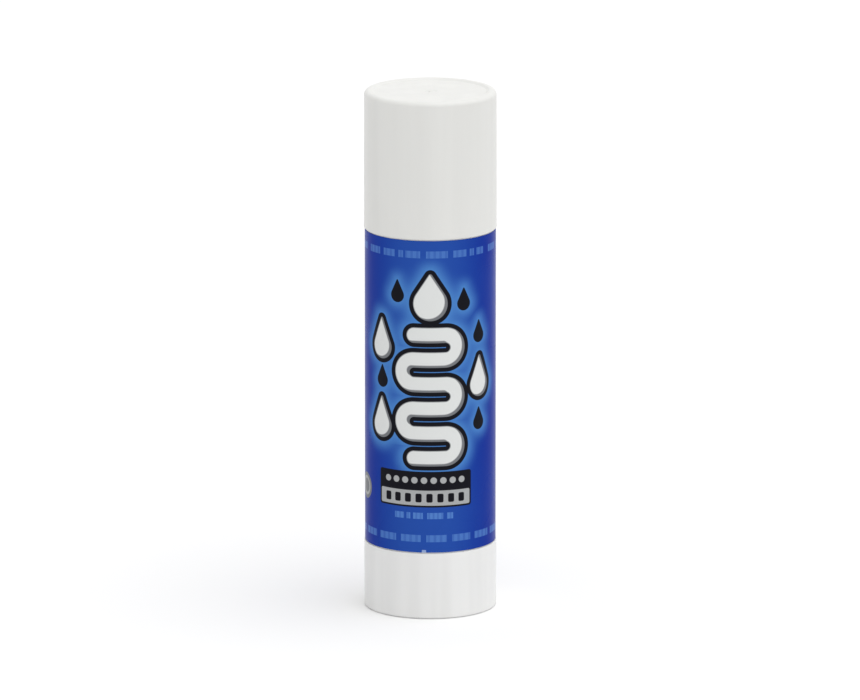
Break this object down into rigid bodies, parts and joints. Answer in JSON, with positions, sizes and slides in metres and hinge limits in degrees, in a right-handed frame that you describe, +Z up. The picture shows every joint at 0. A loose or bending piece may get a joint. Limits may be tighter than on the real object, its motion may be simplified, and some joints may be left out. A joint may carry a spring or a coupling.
{
  "type": "glue stick",
  "caption": "Twist-up glue stick: white barrel with a blue printed label, a push-on cap and a turning knob whose threaded spindle lifts the carrier and its glue.",
  "frame": {"origin": "centre of the circular foot, on the plane that the stick stands on", "axes": "+Z up along the stick's axis, towards the cap; +X to the right and -Y towards the viewer who faces the front of the label"},
  "size_m": [0.025, 0.025, 0.0994],
  "materials": {
    "white_shell": "satin white polypropylene with a faint moulding grain",
    "barrel_white": "smooth white polypropylene",
    "label_film": "glossy printed film, blue with white, black and light blue shapes",
    "seal_foam": "soft closed-cell foam",
    "inner_plastic": "milky natural polypropylene",
    "glue_paste": "waxy off-white glue, slightly translucent"
  },
  "bodies": {
    "barrel": {"barrel": "barrel_white", "label": "label_film", "seal_ring": "seal_foam"},
    "dial": {"knob": "white_shell", "spindle": "inner_plastic"},
    "carrier": {"carrier": "inner_plastic", "glue": "glue_paste"},
    "cap": {"cap": "white_shell"}
  },
  "joints": [
    {"name": "cap_pull", "type": "slide", "parent": "barrel", "child": "cap", "axis": [0, 0, 1], "range_m": [0, 0.04]},
    {"name": "dial_turn", "type": "hinge", "parent": "barrel", "child": "dial", "pos_m": [0, 0, 0], "axis": [0, 0, 1], "range_deg": [0, 5040]},
    {"name": "carrier_feed", "type": "slide", "parent": "barrel", "child": "carrier", "axis": [0, 0, 1], "range_m": [0, 0.07], "deforming": ["glue"]}
  ],
  "couplings": [
    {"joint": "carrier_feed", "follows": "dial_turn", "m_per_rad": 0.00079577}
  ]
}
